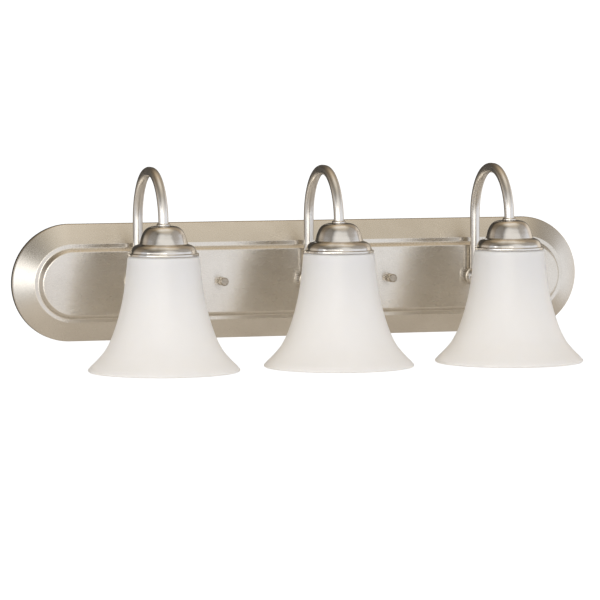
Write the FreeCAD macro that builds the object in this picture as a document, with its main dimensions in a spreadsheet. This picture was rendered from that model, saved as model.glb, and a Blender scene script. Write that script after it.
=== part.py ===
import FreeCAD, Part
import math
import os
import types

import Sketcher

# A three-light vanity bar in millimetres.  X runs along the wall to the viewer's right, Z is up and the
# wall is the plane Y = 0, so everything stands at negative Y.  The origin is the centre of the back rim.

doc = FreeCAD.newDocument("VanityLightBar")


# ---------------------------------------------------------------------------------------------------
# Driving dimensions

DIMENSIONS = {
    # pressed backplate
    "plate_length": 609.6,
    "plate_height": 120.0,
    "plate_sheet": 1.0,
    "rim_height": 6.0,          # short upright rim that meets the wall
    "bevel_width": 20.0,        # sloping border, seen from the front
    "bevel_depth": 21.0,        # wall to the front of the shoulder
    "shoulder_width": 4.2,      # narrow flat between the border and the riser
    "riser_width": 3.4,
    "plate_depth": 27.0,        # wall to the front of the flat panel
    # arms
    "arm_spacing": 181.0,
    "tube_radius": 5.0,
    "tube_wall": 1.0,
    "tube_standoff": 37.0,      # wall to the axis of the rear leg
    "arm_span": 105.0,          # rear leg to front leg
    "bend_radius": 50.0,
    "arm_top": 115.1,           # height of the tube's centreline at the top of the arch
    "ball_radius": 9.8,
    "ball_seat": 4.0,           # how far above the ball's centre the tube ends
    "neck_radius": 6.6,
    "stem_radius": 5.0,
    "stem_reach": 9.0,          # stem length behind the panel
    "wire_bore": 3.4,
    "locknut_flats": 14.0,
    "locknut_thick": 3.0,
    "lockwasher_thick": 0.8,
    "lockwasher_radius": 8.0,
    # fitters, collars
    "collar_radius": 7.0,
    "collar_height": 2.3,
    "fitter_sheet": 0.9,
    "fitter_top": 63.6,
    "fitter_flat": 12.0,        # radius of the flat on top of the dome
    "dome_shoulder_radius": 20.8,
    "dome_shoulder_drop": 7.6,
    "dome_radius": 24.0,
    "dome_drop": 17.5,
    "ledge": 1.2,
    "tier_radius": 32.8,
    "tier_drop": 25.4,
    "lip_radius": 35.0,
    "lip_bottom": 33.8,
    # sockets
    "cap_wall": 1.2,
    "cap_gap": 0.3,             # cap's skirt to the socket's core
    "cap_hub_radius": 8.0,
    "cap_hub_height": 4.0,
    "cap_drop": 11.0,           # fitter's inside to the top of the socket's body
    "cap_skirt": 7.0,
    "socket_core_wall": 2.15,   # insulator around the screw shell
    "socket_thread_step": 3.5,  # core to the crest of the outside thread
    "socket_floor": 5.0,
    "socket_bottom": 9.0,
    "socket_thread_top": 34.5,
    "shell_radius": 13.2,       # inside of the lamp's screw shell
    "shell_wall": 0.5,
    "shell_length": 26.0,
    "shell_recess": 3.0,        # shell's lower edge above the body's mouth
    "contact_radius": 4.2,
    "contact_height": 3.2,
    # shade rings
    "ring_wall": 2.2,
    "ring_height": 9.0,
    "ring_flange_width": 7.55,  # ring's bore to the edge of its flange
    "ring_flange_thick": 2.2,
    # glass shades
    "glass_wall": 3.0,
    "glass_hole_gap": 1.6,      # socket to the edge of the hole in the glass
    "glass_neck_radius": 35.7,
    "glass_shoulder": 2.5,
    "glass_neck_end_radius": 37.4,
    "glass_neck_end": 14.0,
    "glass_waist_radius": 52.0,
    "glass_waist": -48.0,
    "glass_flare_radius": 65.4,
    "glass_flare": -68.0,
    "glass_rim_radius": 75.4,
    "glass_bottom": -80.6,
    "glass_lip": 3.4,           # height of the rounded bead around the rim
    "neck_curve": 248.0,
    "flare_curve": 62.0,
    # wall strap with its studs and nuts
    "strap_length": 206.0,
    "strap_width": 20.0,
    "strap_thick": 1.6,
    "box_screw_spacing": 79.4,
    "slot_length": 14.3,
    "slot_radius": 2.3,
    "stud_radius": 2.08,
    "stud_length": 35.0,
    "stud_nut_flats": 8.0,
    "stud_nut_thick": 3.0,
    "cap_nut_radius": 4.3,
    "cap_nut_length": 12.6,
    "cap_nut_chamfer": 0.9,
    "cap_nut_slot": 1.1,
    "washer_radius": 4.1,
    "washer_thick": 0.8,
    "ground_screw_place": 60.0,
    "ground_head_radius": 3.9,
    "ground_head_height": 2.3,
    # wiring
    "lead_radius": 1.0,
    "lead_gap": 0.3,
    "lead_level": 9.0,          # height of the runs above and below the middle of the plate
    "lead_depth": 11.0,         # wall to the runs
    "lead_bend": 5.2,
    "connector_mouth": 15.0,
    "connector_length": 21.0,
    "connector_radius": 6.6,
    "connector_end_radius": 4.4,
    "connector_wall": 1.3,
    # clearances
    "running_gap": 0.05,        # threads and shafts
    "hole_gap": 0.25,           # holes that a fastener only passes through
    "seat_gap": 0.1,            # glass to what it rests on
}


class Size:
    """A number together with the spreadsheet expression that gives it."""

    def __init__(self, value, text):
        self.value = float(value)
        self.text = text

    def __add__(self, other):
        other = as_size(other)
        return Size(self.value + other.value, "(%s + %s)" % (self.text, other.text))

    def __sub__(self, other):
        other = as_size(other)
        return Size(self.value - other.value, "(%s - %s)" % (self.text, other.text))

    def __mul__(self, other):
        other = as_size(other)
        return Size(self.value * other.value, "(%s * %s)" % (self.text, other.text))

    def __truediv__(self, other):
        other = as_size(other)
        return Size(self.value / other.value, "(%s / %s)" % (self.text, other.text))

    def __neg__(self):
        return Size(-self.value, "(0 - %s)" % self.text)

    __radd__ = __add__
    __rmul__ = __mul__


def as_size(number):
    if isinstance(number, Size):
        return number
    return Size(number, "%.6f" % number)


ZERO = as_size(0)

sheet = doc.addObject("Spreadsheet::Sheet", "Sizes")
for row, (alias, number) in enumerate(DIMENSIONS.items(), start=1):
    sheet.set("A%d" % row, alias)
    sheet.set("B%d" % row, "%g" % number)
    sheet.setAlias("B%d" % row, alias)
doc.recompute()

s = types.SimpleNamespace()
for alias, number in DIMENSIONS.items():
    setattr(s, alias, Size(number, "Sizes." + alias))

parts = {}          # node name: the document object that is written to its file


# ---------------------------------------------------------------------------------------------------
# Modelling helpers

def place(thing, x=ZERO, y=ZERO, z=ZERO, turn=None):
    """Put an object at a point given by expressions, turned by (axis, degrees)."""
    x, y, z = as_size(x), as_size(y), as_size(z)
    rotation = FreeCAD.Rotation()
    if turn:
        rotation = FreeCAD.Rotation(FreeCAD.Vector(*turn[0]), turn[1])
    thing.Placement = FreeCAD.Placement(FreeCAD.Vector(x.value, y.value, z.value), rotation)
    for axis, amount in (("x", x), ("y", y), ("z", z)):
        if amount.value:
            thing.setExpression(".Placement.Base." + axis, amount.text)


def new_body(node, x=ZERO, y=ZERO, z=ZERO):
    body = doc.addObject("PartDesign::Body", node)
    body.Label = node
    place(body, x, y, z)
    parts[node] = body
    return body


def origin_plane(body, role):
    for feature in body.Origin.OriginFeatures:
        if feature.Role == role:
            return feature
    raise RuntimeError("no plane " + role)


def sketch_on(body, name, role, offset=None):
    sketch = body.newObject("Sketcher::SketchObject", name)
    sketch.AttachmentSupport = [(origin_plane(body, role), "")]
    sketch.MapMode = "FlatFace"
    if offset is not None:
        sketch.AttachmentOffset = FreeCAD.Placement(
            FreeCAD.Vector(0, 0, offset.value), FreeCAD.Rotation())
        sketch.setExpression(".AttachmentOffset.Base.z", offset.text)
    return sketch


def pin_point(sketch, geometry, end, x, y):
    """Hold one end of a curve at (x, y), measured from the sketch's origin."""
    for kind, axis, amount in (("DistanceX", -2, x), ("DistanceY", -1, y)):
        if amount.value == 0:
            sketch.addConstraint(Sketcher.Constraint("PointOnObject", geometry, end, axis))
        else:
            index = sketch.addConstraint(
                Sketcher.Constraint(kind, -1, 1, geometry, end, amount.value))
            sketch.setExpression("Constraints[%d]" % index, amount.text)


def circle(sketch, x, y, radius):
    x, y = as_size(x), as_size(y)
    centre = FreeCAD.Vector(x.value, y.value, 0)
    index = sketch.addGeometry(Part.Circle(centre, FreeCAD.Vector(0, 0, 1), radius.value))
    pin_point(sketch, index, 3, x, y)
    bound = sketch.addConstraint(Sketcher.Constraint("Radius", index, radius.value))
    sketch.setExpression("Constraints[%d]" % bound, radius.text)


def arc_between(start, end, radius):
    """The arc of under half a turn from start to end; a positive radius turns left, a negative right."""
    chord = end.sub(start)
    half = chord.Length / 2
    rise = math.sqrt(radius * radius - half * half)
    left = FreeCAD.Vector(-chord.y, chord.x, 0).normalize()
    centre = start.add(chord * 0.5).add(left * math.copysign(rise, radius))
    first, last = (start, end) if radius > 0 else (end, start)
    angles = [math.atan2(point.y - centre.y, point.x - centre.x) for point in (first, last)]
    round_curve = Part.Circle(centre, FreeCAD.Vector(0, 0, 1), abs(radius))
    return Part.ArcOfCircle(round_curve, angles[0], angles[1])


def draw(sketch, corners, closed=True):
    """A chain of lines and arcs.  A corner is (x, y), or (x, y, radius) where an arc leads up to it."""
    corners = [tuple(as_size(value) for value in corner) for corner in corners]
    pairs = list(zip(corners, corners[1:]))
    if closed:
        pairs.append((corners[-1], corners[0]))
    ends = []
    for before, after in pairs:
        start = FreeCAD.Vector(before[0].value, before[1].value, 0)
        end = FreeCAD.Vector(after[0].value, after[1].value, 0)
        if len(after) == 2:
            index = sketch.addGeometry(Part.LineSegment(start, end))
            ends.append((index, 1, 2))
            continue
        radius = after[2]
        index = sketch.addGeometry(arc_between(start, end, radius.value))
        ends.append((index, 1, 2) if radius.value > 0 else (index, 2, 1))
        bound = sketch.addConstraint(Sketcher.Constraint("Radius", index, abs(radius.value)))
        sketch.setExpression("Constraints[%d]" % bound, "abs(%s)" % radius.text)
    for (index, first, last), (before, after) in zip(ends, pairs):
        pin_point(sketch, index, first, before[0], before[1])
    for (index, first, last), (following, start_end, rest) in zip(ends, ends[1:] + ends[:1]):
        if closed or following != ends[0][0]:
            sketch.addConstraint(
                Sketcher.Constraint("Coincident", index, last, following, start_end))
    if not closed:
        pin_point(sketch, ends[-1][0], ends[-1][2], corners[-1][0], corners[-1][1])


def revolve(body, name, corners, plane="XZ_Plane", angle=360, reverse=False, offset=None, axis="V_Axis"):
    """Turn an outline about the sketch's upright axis (Z on XZ_Plane, Y on XY_Plane)."""
    sketch = sketch_on(body, name + "_outline", plane, offset)
    draw(sketch, corners)
    turned = body.newObject("PartDesign::Revolution", name)
    turned.Profile = sketch
    turned.ReferenceAxis = (sketch, [axis])
    turned.Angle = angle
    turned.Reversed = reverse
    return turned


def cut_through(body, sketch, name):
    """Pocket a sketch through everything, both ways."""
    doc.recompute()
    before = body.Shape.Volume
    pocket = body.newObject("PartDesign::Pocket", name)
    pocket.Profile = sketch
    pocket.SideType = "Symmetric"
    pocket.Type = "ThroughAll"
    doc.recompute()
    if body.Shape.Volume > before - 0.01:
        raise RuntimeError(name + " removes nothing")
    return pocket


def nut_at(name, flats, thick, bore, x, y, z):
    """A hexagon nut whose axis runs along Y, its back face at y and its body towards the front."""
    prism = doc.addObject("Part::Prism", name + "_prism")
    prism.Polygon = 6
    prism.setExpression("Circumradius", (flats / math.sqrt(3)).text)
    prism.setExpression("Height", thick.text)
    hole = doc.addObject("Part::Cylinder", name + "_hole")
    hole.setExpression("Radius", bore.text)
    hole.setExpression("Height", (thick + 2).text)
    hole.Placement.Base.z = -1
    nut = doc.addObject("Part::Cut", name)
    nut.Base = prism
    nut.Tool = hole
    place(nut, x, y, z, TOWARDS_FRONT)
    return nut


def group(node, members):
    """Several identical fasteners kept as one node of separate solids."""
    together = doc.addObject("Part::Compound", node)
    together.Label = node
    together.Links = members
    parts[node] = together


TOWARDS_FRONT = ((1, 0, 0), 90)         # turns a Z axis to point along -Y
panel_back = s.plate_depth - s.plate_sheet
stations = {"left": -s.arm_spacing, "mid": ZERO, "right": s.arm_spacing}
front_leg = s.tube_standoff + s.arm_span
tube_bore = s.tube_radius - s.tube_wall


# ---------------------------------------------------------------------------------------------------
# Backplate: a racetrack pan with a sloping border, a narrow shoulder and a raised flat panel

def plate_half_section(thick):
    """Corners (y, z) from the back rim over the front to the panel's middle, then back inside."""
    edge = s.plate_height / 2
    shoulder = edge - s.bevel_width
    riser = shoulder - s.shoulder_width
    panel = riser - s.riser_width
    slope = thick / 2
    return [
        (ZERO, edge),
        (-s.rim_height, edge),
        (-s.bevel_depth, shoulder),
        (-s.bevel_depth, riser),
        (-s.plate_depth, panel),
        (-s.plate_depth, ZERO),
        (-(s.plate_depth - thick), ZERO),
        (-(s.plate_depth - thick), panel - slope),
        (-(s.bevel_depth - thick), riser - slope),
        (-(s.bevel_depth - thick), shoulder - slope),
        (-(s.rim_height - slope), edge - thick),
        (ZERO, edge - thick),
    ]


def backplate():
    body = new_body("backplate")
    half = plate_half_section(s.plate_sheet)
    lower = [(y, -z) for y, z in reversed(half) if z.value]
    outer = [corner for corner in half[:5]]
    inner = [corner for corner in half[7:]]
    lower_outer = [(y, -z) for y, z in reversed(outer)]
    lower_inner = [(y, -z) for y, z in reversed(inner)]
    sketch = sketch_on(body, "plate_section", "YZ_Plane")
    draw(sketch, outer + lower_outer + lower_inner + inner)
    middle = body.newObject("PartDesign::Pad", "plate_middle")
    middle.Profile = sketch
    middle.SideType = "Symmetric"
    straight = s.plate_length - s.plate_height
    middle.setExpression("Length", straight.text)
    revolve(body, "plate_right_end", half, "YZ_Plane", 180, False, straight / 2, "H_Axis")
    revolve(body, "plate_left_end", half, "YZ_Plane", 180, True, -straight / 2, "H_Axis")
    holes = sketch_on(body, "plate_holes", "XZ_Plane")
    for station in stations.values():
        circle(holes, station, ZERO, s.stem_radius + s.hole_gap)
    for side in (-1, 1):
        circle(holes, s.arm_spacing / 2 * side, ZERO, s.stud_radius + s.hole_gap)
    cut_through(body, holes, "plate_hole_cut")


# ---------------------------------------------------------------------------------------------------
# Arms: bent tubes on ball elbows that are bolted to the panel

def arm_tube(side, x):
    body = new_body("arm_tube_" + side, x, -s.tube_standoff)
    crown = s.arm_top - s.bend_radius
    bottom = s.fitter_top - s.fitter_sheet - s.cap_hub_height
    spine = sketch_on(body, "arm_route_" + side, "YZ_Plane")
    draw(spine, [
        (ZERO, s.ball_seat),
        (ZERO, crown),
        (-s.bend_radius, s.arm_top, s.bend_radius),
        (-(s.arm_span - s.bend_radius), s.arm_top),
        (-s.arm_span, crown, s.bend_radius),
        (-s.arm_span, bottom),
    ], closed=False)
    section = sketch_on(body, "arm_section_" + side, "XY_Plane", s.ball_seat)
    circle(section, ZERO, ZERO, s.tube_radius)
    circle(section, ZERO, ZERO, tube_bore)
    pipe = body.newObject("PartDesign::AdditivePipe", "arm_bend_" + side)
    pipe.Profile = section
    pipe.Spine = (spine, [])


def elbow(side, x):
    """Ball with a stem behind it; the tube stands in a bore on top and the stem passes the panel."""
    body = new_body("arm_elbow_" + side, x, -s.tube_standoff)
    panel = s.tube_standoff - s.plate_depth
    stem_end = panel + s.stem_reach
    neck_start = s.ball_radius * 0.6
    revolve(body, "ball_" + side, [
        (ZERO, -s.ball_radius),
        (ZERO, s.ball_radius, s.ball_radius * 1.000001),
    ], "XY_Plane")
    revolve(body, "stem_" + side, [
        (ZERO, neck_start),
        (s.neck_radius, neck_start),
        (s.neck_radius, panel),
        (s.stem_radius, panel),
        (s.stem_radius, stem_end),
        (ZERO, stem_end),
    ], "XY_Plane")
    back_bore = sketch_on(body, "stem_bore_outline_" + side, "XZ_Plane")
    circle(back_bore, ZERO, ZERO, s.wire_bore)
    bore = body.newObject("PartDesign::Pocket", "stem_bore_" + side)
    bore.Profile = back_bore
    bore.setExpression("Length", (stem_end + 1).text)
    seat_outline = sketch_on(body, "tube_seat_outline_" + side, "XY_Plane", s.ball_seat)
    circle(seat_outline, ZERO, ZERO, s.tube_radius + s.running_gap)
    seat = body.newObject("PartDesign::Pocket", "tube_seat_" + side)
    seat.Profile = seat_outline
    seat.Reversed = True
    seat.setExpression("Length", s.ball_radius.text)
    rise_outline = sketch_on(body, "rise_outline_" + side, "XY_Plane")
    circle(rise_outline, ZERO, ZERO, s.wire_bore)
    rise = body.newObject("PartDesign::Pocket", "rise_" + side)
    rise.Profile = rise_outline
    rise.Reversed = True
    rise.setExpression("Length", s.ball_radius.text)


def arm_fasteners():
    """One toothed washer and one hexagon nut on each stem, behind the panel."""
    washers = []
    nuts = []
    nut_face = panel_back - s.lockwasher_thick
    for side, x in stations.items():
        disc = doc.addObject("Part::Cylinder", "lockwasher_disc_" + side)
        disc.setExpression("Radius", s.lockwasher_radius.text)
        disc.setExpression("Height", s.lockwasher_thick.text)
        hole = doc.addObject("Part::Cylinder", "lockwasher_hole_" + side)
        hole.setExpression("Radius", (s.stem_radius + s.hole_gap).text)
        hole.setExpression("Height", (s.lockwasher_thick + 2).text)
        hole.Placement.Base.z = -1
        washer = doc.addObject("Part::Cut", "lockwasher_" + side)
        washer.Base = disc
        washer.Tool = hole
        place(washer, x, -nut_face, ZERO, TOWARDS_FRONT)
        washers.append(washer)
        nuts.append(nut_at("locknut_" + side, s.locknut_flats, s.locknut_thick,
                           s.stem_radius + s.running_gap, x, -(nut_face - s.locknut_thick), ZERO))
    group("arm_lockwashers", washers)
    group("arm_locknuts", nuts)


# ---------------------------------------------------------------------------------------------------
# Fitters, sockets, rings and shades, each about the axis of a front leg

def collar(side, x):
    body = new_body("arm_collar_" + side, x, -front_leg)
    bore = s.tube_radius + s.running_gap
    edge = s.collar_height / 4
    top = s.fitter_top + s.collar_height
    revolve(body, "collar_ring_" + side, [
        (bore, s.fitter_top),
        (s.collar_radius - edge, s.fitter_top),
        (s.collar_radius, s.fitter_top + edge),
        (s.collar_radius, top - edge),
        (s.collar_radius - edge, top),
        (bore, top),
    ])


def fitter(side, x):
    """Spun two-tier cup: a dome, a convex lower tier and a small rolled lip."""
    body = new_body("fitter_" + side, x, -front_leg)
    top = s.fitter_top
    thick = s.fitter_sheet
    dome_foot = top - s.dome_drop
    ledge_radius = s.dome_radius + s.ledge
    tier_foot = top - s.tier_drop
    revolve(body, "fitter_cup_" + side, [
        (s.tube_radius + s.running_gap, top),
        (s.fitter_flat, top),
        (s.dome_shoulder_radius, top - s.dome_shoulder_drop, -(s.dome_shoulder_drop * 1.2)),
        (s.dome_radius, dome_foot, s.dome_radius * -1.7),
        (ledge_radius, dome_foot - s.ledge / 2),
        (s.tier_radius, tier_foot, -(s.tier_drop / 2.6)),
        (s.tier_radius + thick / 2, tier_foot - thick),
        (s.lip_radius, s.lip_bottom + thick * 2),
        (s.lip_radius, s.lip_bottom + thick),
        (s.lip_radius - thick, s.lip_bottom),
        (s.lip_radius - thick * 2, s.lip_bottom),
        (s.tier_radius - thick / 2, tier_foot - thick),
        (s.tier_radius - thick, tier_foot),
        (ledge_radius - thick / 2, dome_foot - s.ledge / 2 - thick, s.tier_drop / 2.6),
        (s.dome_radius - thick, dome_foot - thick / 2),
        (s.dome_shoulder_radius - thick, top - s.dome_shoulder_drop, s.dome_radius * 1.7),
        (s.fitter_flat, top - thick, s.dome_shoulder_drop * 1.1),
        (s.tube_radius + s.running_gap, top - thick),
    ])


shell_bore = s.shell_radius + s.shell_wall + s.running_gap
socket_core_radius = shell_bore + s.socket_core_wall
socket_radius = socket_core_radius + s.socket_thread_step
cap_radius = socket_core_radius + s.cap_gap + s.cap_wall
ring_bore = socket_radius + s.running_gap
ring_flange_radius = ring_bore + s.ring_flange_width
glass_hole = socket_radius + s.glass_hole_gap


def socket_cap(side, x):
    """Metal cap that screws on the tube's end, clamps the fitter and holds the socket's body."""
    body = new_body("socket_cap_" + side, x, -front_leg)
    top = s.fitter_top - s.fitter_sheet
    hub = top - s.cap_hub_height
    rim = top - s.cap_drop
    inner = cap_radius - s.cap_wall
    revolve(body, "cap_bell_" + side, [
        (s.tube_radius + s.running_gap, top),
        (s.cap_hub_radius, top),
        (s.cap_hub_radius, hub + s.cap_wall),
        (cap_radius, rim, -(cap_radius * 0.8)),
        (cap_radius, rim - s.cap_skirt),
        (inner, rim - s.cap_skirt),
        (inner, rim),
        (s.cap_hub_radius, hub, cap_radius * 0.8),
        (s.tube_radius + s.running_gap, hub),
    ])


def socket_body(side, x):
    """Moulded insulator with a coarse outside thread, drawn at its crest, for the shade ring."""
    body = new_body("socket_body_" + side, x, -front_leg)
    top = s.fitter_top - s.fitter_sheet - s.cap_drop
    roof = top - s.socket_floor
    revolve(body, "insulator_" + side, [
        (ZERO, top),
        (socket_core_radius, top),
        (socket_core_radius, s.socket_thread_top + s.ledge),
        (socket_radius, s.socket_thread_top),
        (socket_radius, s.socket_bottom),
        (shell_bore, s.socket_bottom),
        (shell_bore, roof),
        (ZERO, roof),
    ])
    wires = sketch_on(body, "terminal_holes_" + side, "XY_Plane")
    for way in (-1, 1):
        circle(wires, lead_offset * way, ZERO, s.lead_radius + s.running_gap)
    cut_through(body, wires, "terminal_hole_cut_" + side)


def socket_shell(side, x):
    """Drawn brass screw shell for a medium-base lamp, its thread drawn as a plain tube at the crest."""
    body = new_body("socket_shell_" + side, x, -front_leg)
    low = s.socket_bottom + s.shell_recess
    high = low + s.shell_length
    outer = s.shell_radius + s.shell_wall
    revolve(body, "screw_shell_" + side, [
        (s.shell_radius, low),
        (outer, low),
        (outer, high),
        (s.shell_radius, high),
    ])


def socket_contact(side, x):
    """Sprung centre contact on the roof of the socket."""
    body = new_body("socket_contact_" + side, x, -front_leg)
    roof = s.fitter_top - s.fitter_sheet - s.cap_drop - s.socket_floor
    tip = roof - s.contact_height
    revolve(body, "contact_button_" + side, [
        (ZERO, roof),
        (s.contact_radius, roof),
        (s.contact_radius, roof - s.contact_height / 2),
        (s.contact_radius / 2, tip),
        (ZERO, tip),
    ])


glass_top = s.lip_bottom - s.seat_gap


def shade_ring(side, x):
    """Flanged ring that screws up the socket and lifts the glass against the fitter."""
    body = new_body("shade_ring_" + side, x, -front_leg)
    top = glass_top - s.glass_wall - s.seat_gap
    bore = ring_bore
    revolve(body, "threaded_ring_" + side, [
        (bore, top),
        (ring_flange_radius, top),
        (ring_flange_radius, top - s.ring_flange_thick),
        (bore + s.ring_wall, top - s.ring_flange_thick),
        (bore + s.ring_wall, top - s.ring_height),
        (bore, top - s.ring_height),
    ])


def shade(side, x):
    """Bell of opal glass: a flat top with the socket's hole, a long neck and a flared mouth."""
    body = new_body("shade_" + side, x, -front_leg)
    wall = s.glass_wall
    shoulder = s.glass_shoulder
    lip = s.glass_lip
    lip_top = s.glass_bottom + lip
    revolve(body, "bell_" + side, [
        (glass_hole, glass_top),
        (s.glass_neck_radius - shoulder, glass_top),
        (s.glass_neck_radius, glass_top - shoulder, -(shoulder * 1.02)),
        (s.glass_neck_end_radius, s.glass_neck_end),
        (s.glass_waist_radius, s.glass_waist, s.neck_curve),
        (s.glass_flare_radius, s.glass_flare, s.flare_curve),
        (s.glass_rim_radius - lip / 2, lip_top),
        (s.glass_rim_radius, s.glass_bottom + lip / 2, -(lip * 0.8)),
        (s.glass_rim_radius - lip / 2, s.glass_bottom, -(lip * 0.55)),
        (s.glass_rim_radius - lip, s.glass_bottom + lip / 2, -(lip * 0.55)),
        (s.glass_flare_radius - wall * 0.72, s.glass_flare - wall * 0.7),
        (s.glass_waist_radius - wall * 0.92, s.glass_waist - wall * 0.37, -(s.flare_curve + wall)),
        (s.glass_neck_end_radius - wall, s.glass_neck_end, -(s.neck_curve + wall)),
        (s.glass_neck_radius - wall, glass_top - wall),
        (glass_hole, glass_top - wall),
    ])


# ---------------------------------------------------------------------------------------------------
# Wall strap, studs, nuts and the cap nuts that hold the plate

def wall_strap():
    body = new_body("wall_strap")
    half_length = s.strap_length / 2
    half_width = s.strap_width / 2
    cut = s.strap_width / 5
    sketch = sketch_on(body, "strap_outline", "XZ_Plane")
    draw(sketch, [
        (-half_length, -(half_width - cut)),
        (-(half_length - cut), -half_width),
        (half_length - cut, -half_width),
        (half_length, -(half_width - cut)),
        (half_length, half_width - cut),
        (half_length - cut, half_width),
        (-(half_length - cut), half_width),
        (-half_length, half_width - cut),
    ])
    strip = body.newObject("PartDesign::Pad", "strap_strip")
    strip.Profile = sketch
    strip.setExpression("Length", s.strap_thick.text)
    holes = sketch_on(body, "strap_holes", "XZ_Plane")
    circle(holes, s.ground_screw_place, ZERO, s.stud_radius + s.running_gap)
    for side in (-1, 1):
        circle(holes, s.arm_spacing / 2 * side, ZERO, s.stud_radius + s.running_gap)
        slot(holes, s.box_screw_spacing / 2 * side, s.slot_length, s.slot_radius)
    cut_through(body, holes, "strap_hole_cut")


def slot(sketch, x, length, radius):
    """A slot with round ends along the sketch's first axis, centred at x."""
    reach = length / 2 - radius
    quarter = radius * 1.000001
    draw(sketch, [
        (x - reach, -radius, quarter),
        (x + reach, -radius),
        (x + reach + radius, ZERO, quarter),
        (x + reach, radius, quarter),
        (x - reach, radius),
        (x - reach - radius, ZERO, quarter),
    ])


def strap_fasteners():
    studs = []
    nuts = []
    for name, way in (("left", -1), ("right", 1)):
        x = s.arm_spacing / 2 * way
        stud = doc.addObject("Part::Cylinder", "stud_" + name)
        stud.setExpression("Radius", s.stud_radius.text)
        stud.setExpression("Height", s.stud_length.text)
        place(stud, x, ZERO, ZERO, TOWARDS_FRONT)
        studs.append(stud)
        nuts.append(nut_at("stud_nut_" + name, s.stud_nut_flats, s.stud_nut_thick,
                           s.stud_radius + s.running_gap, x, -s.strap_thick, ZERO))
    group("strap_studs", studs)
    group("strap_nuts", nuts)


def ground_screw():
    body = new_body("ground_screw", s.ground_screw_place)
    under = s.strap_thick + s.lead_radius * 2
    front = under + s.ground_head_height
    edge = s.ground_head_height / 3
    revolve(body, "ground_screw_turned", [
        (ZERO, ZERO),
        (s.stud_radius, ZERO),
        (s.stud_radius, -under),
        (s.ground_head_radius, -under),
        (s.ground_head_radius, -(front - edge)),
        (s.ground_head_radius - edge, -front),
        (ZERO, -front),
    ], "XY_Plane")
    driver_slot(body, "ground_screw_slot", s.ground_head_radius, front, s.ground_head_height / 2)


def driver_slot(body, name, radius, front, depth):
    """A screwdriver slot across the front face of a fastener whose axis is Y."""
    width = s.cap_nut_slot / 2
    sketch = sketch_on(body, name + "_outline", "XZ_Plane", front)
    draw(sketch, [
        (-(radius + 1), -width),
        (radius + 1, -width),
        (radius + 1, width),
        (-(radius + 1), width),
    ])
    doc.recompute()
    before = body.Shape.Volume
    pocket = body.newObject("PartDesign::Pocket", name)
    pocket.Profile = sketch
    pocket.setExpression("Length", depth.text)
    doc.recompute()
    if body.Shape.Volume > before - 0.01:
        raise RuntimeError(name + " removes nothing")


def washer(side, way):
    body = new_body("washer_" + side, s.arm_spacing / 2 * way)
    back = s.plate_depth
    hole = s.stud_radius + s.hole_gap
    revolve(body, "washer_disc_" + side, [
        (hole, -back),
        (s.washer_radius, -back),
        (s.washer_radius, -(back + s.washer_thick)),
        (hole, -(back + s.washer_thick)),
    ], "XY_Plane")


def cap_nut(side, way):
    """Slender knurled nut, closed in front, drawn at the crest of its knurl."""
    body = new_body("cap_nut_" + side, s.arm_spacing / 2 * way)
    back = s.plate_depth + s.washer_thick
    front = back + s.cap_nut_length
    edge = s.cap_nut_chamfer
    bore = s.stud_radius + s.running_gap
    bore_end = front - s.cap_nut_length / 4
    revolve(body, "cap_nut_turned_" + side, [
        (bore, -back),
        (s.cap_nut_radius, -back),
        (s.cap_nut_radius, -(front - edge)),
        (s.cap_nut_radius - edge, -front),
        (ZERO, -front),
        (ZERO, -bore_end),
        (bore, -bore_end),
    ], "XY_Plane")
    driver_slot(body, "cap_nut_slot_" + side, s.cap_nut_radius, front, s.cap_nut_chamfer)


# ---------------------------------------------------------------------------------------------------
# Wiring: a black and a white lead through each arm, joined under two twist-on connectors

lead_offset = s.lead_radius + s.lead_gap / 2


def route_wire(points, radii):
    """Straight runs joined by tangent arcs: the edges of one wire, corner by corner."""
    vectors = [FreeCAD.Vector(*point) for point in points]
    edges = []
    start = vectors[0]
    for index, radius in enumerate(radii, start=1):
        corner = vectors[index]
        arriving = (corner - vectors[index - 1]).normalize()
        leaving = (vectors[index + 1] - corner).normalize()
        turn = arriving.getAngle(leaving)
        cut = radius * math.tan(turn / 2)
        first = corner - arriving * cut
        last = corner + leaving * cut
        inward = (leaving - arriving).normalize()
        middle = corner + inward * (radius / math.cos(turn / 2) - radius)
        if (first - start).Length > 1e-6:
            edges.append(Part.LineSegment(start, first).toShape())
        edges.append(Part.Arc(first, middle, last).toShape())
        start = last
    edges.append(Part.LineSegment(start, vectors[-1]).toShape())
    return Part.Wire(edges)


def wire_solid(node, points, radii, radius):
    path = route_wire(points, radii)
    first = path.Edges[0]
    heading = first.tangentAt(first.FirstParameter)
    rim = Part.Circle(FreeCAD.Vector(*points[0]), heading, radius)
    profile = Part.Wire([rim.toShape()])
    solid = path.makePipeShell([profile], True, False)
    expected = math.pi * radius * radius * path.Length
    if abs(solid.Volume - expected) > 0.01 * expected:
        raise RuntimeError(node + " has the wrong volume")
    feature = doc.addObject("Part::Feature", node)
    feature.Label = node
    feature.Shape = solid
    parts[node] = feature
    print("%s: length %.1f mm, bend radii %s" % (
        node, path.Length, ", ".join("%.1f" % value for value in radii)))


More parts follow.
